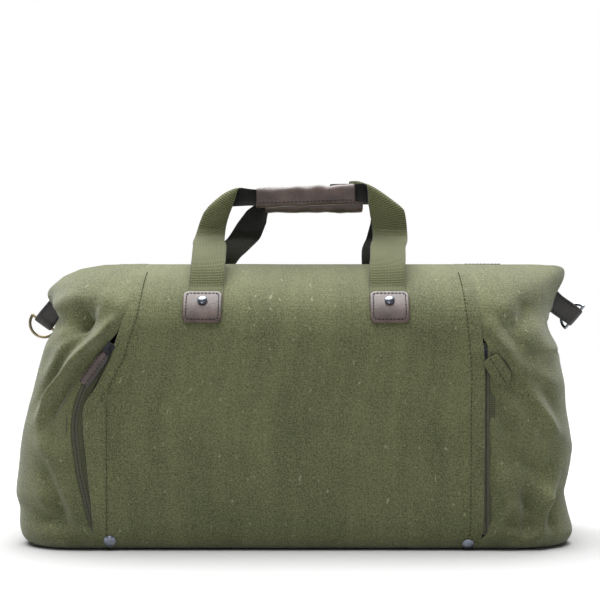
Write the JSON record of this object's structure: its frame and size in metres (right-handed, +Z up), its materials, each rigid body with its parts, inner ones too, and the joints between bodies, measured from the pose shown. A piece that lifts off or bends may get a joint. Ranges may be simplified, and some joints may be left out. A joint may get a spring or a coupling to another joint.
{
  "type": "duffel bag",
  "caption": "Soft canvas duffel bag with two webbing handles, leather grips and patches, zipped top, front pockets, shoulder-strap rings and metal feet.",
  "frame": {"origin": "on the floor, under the middle of the bag's length and depth", "axes": "+Z up, +X along the bag's length to the right seen from the front, -Y out of the front with the pocket panel"},
  "size_m": [0.596, 0.2444, 0.3725],
  "materials": {
    "canvas": "washed, slubby weave",
    "webbing": "ribbed",
    "lining": "matte",
    "zip_tape": "matte",
    "zip_teeth": "matte",
    "leather": "soft, semi-matte",
    "dark_leather": "semi-matte",
    "steel": "satin",
    "board": "matte"
  },
  "bodies": {
    "shell": {"front_panel": "canvas", "back_panel": "canvas", "bottom_panel": "canvas", "left_gusset": "canvas", "right_gusset": "canvas", "left_gusset_fold": "canvas", "right_gusset_fold": "canvas", "lining": "lining", "base_board": "board", "left_pocket_bag": "lining", "right_pocket_bag": "lining", "feet": "steel", "foot_washers": "steel", "left_zip_end": "leather", "right_zip_end": "leather", "left_zip_tape": "zip_tape", "left_zip_teeth": "zip_teeth", "right_zip_tape": "zip_tape", "right_zip_teeth": "zip_teeth", "left_ring_loop": "dark_leather", "right_ring_loop": "dark_leather"},
    "front_mouth": {"front_mouth_panel": "canvas", "front_zip_tape": "zip_tape", "front_zip_teeth": "zip_teeth", "front_left_patch": "leather", "front_right_patch": "leather", "front_webbing_tails": "webbing", "front_rivets": "steel"},
    "back_mouth": {"back_mouth_panel": "canvas", "back_zip_tape": "zip_tape", "back_zip_teeth": "zip_teeth", "back_left_patch": "leather", "back_right_patch": "leather", "back_webbing_tails": "webbing", "back_rivets": "steel"},
    "front_handle": {"front_handle_webbing": "webbing", "front_grip_wrap": "leather"},
    "back_handle": {"back_handle_webbing": "webbing", "back_grip_wrap": "leather"},
    "main_slider": {"main_zip_slider": "steel"},
    "main_pull": {"main_pull_link": "steel", "main_pull_strap": "leather"},
    "left_slider": {"left_zip_slider": "steel"},
    "left_pull": {"left_pull_link": "steel", "left_pull_strap": "leather"},
    "right_slider": {"right_zip_slider": "steel"},
    "right_pull": {"right_pull_link": "steel", "right_pull_tab": "canvas"},
    "left_ring": {"left_d_ring": "steel"},
    "right_ring": {"right_d_ring": "steel"}
  },
  "joints": [
    {"name": "front_mouth_hinge", "type": "hinge", "parent": "shell", "child": "front_mouth", "pos_m": [0, -0.118, 0.215], "axis": [1, 0, 0], "range_deg": [0, 60]},
    {"name": "back_mouth_hinge", "type": "hinge", "parent": "shell", "child": "back_mouth", "pos_m": [0, 0.118, 0.215], "axis": [-1, 0, 0], "range_deg": [0, 60]},
    {"name": "front_handle_fall", "type": "hinge", "parent": "front_mouth", "child": "front_handle", "pos_m": [0, -0.09384, 0.26683], "axis": [-1, 0, 0], "range_deg": [-165, 0]},
    {"name": "back_handle_fall", "type": "hinge", "parent": "back_mouth", "child": "back_handle", "pos_m": [0, 0.09384, 0.26683], "axis": [1, 0, 0], "range_deg": [-165, 0]},
    {"name": "main_zip_travel", "type": "slide", "parent": "shell", "child": "main_slider", "axis": [-1, 0, 0], "range_m": [0, 0.448]},
    {"name": "main_pull_swing", "type": "hinge", "parent": "main_slider", "child": "main_pull", "pos_m": [0.224, 0, 0.2861], "axis": [0, 1, 0], "range_deg": [0, 180]},
    {"name": "left_zip_travel", "type": "hinge", "parent": "shell", "child": "left_slider", "pos_m": [-0.044, -0.117, 0.0985], "axis": [0, -1, 0], "range_deg": [0, 60]},
    {"name": "left_pull_swing", "type": "hinge", "parent": "left_slider", "child": "left_pull", "pos_m": [-0.18657, -0.1211, 0.2017], "axis": [-0.81, 0, 0.5864], "range_deg": [0, 170]},
    {"name": "right_zip_travel", "type": "slide", "parent": "shell", "child": "right_slider", "axis": [0, 0, -1], "range_m": [0, 0.176]},
    {"name": "right_pull_swing", "type": "hinge", "parent": "right_slider", "child": "right_pull", "pos_m": [0.19, -0.1211, 0.198], "axis": [-0.8387, 0, -0.5446], "range_deg": [0, 160]},
    {"name": "left_ring_swing", "type": "hinge", "parent": "shell", "child": "left_ring", "pos_m": [-0.27034, 0, 0.22526], "axis": [0.809, 0, -0.5878], "range_deg": [-150, 150]},
    {"name": "right_ring_swing", "type": "hinge", "parent": "shell", "child": "right_ring", "pos_m": [0.29811, 0, 0.23157], "axis": [0.6428, 0, 0.766], "range_deg": [-290, 10]}
  ]
}
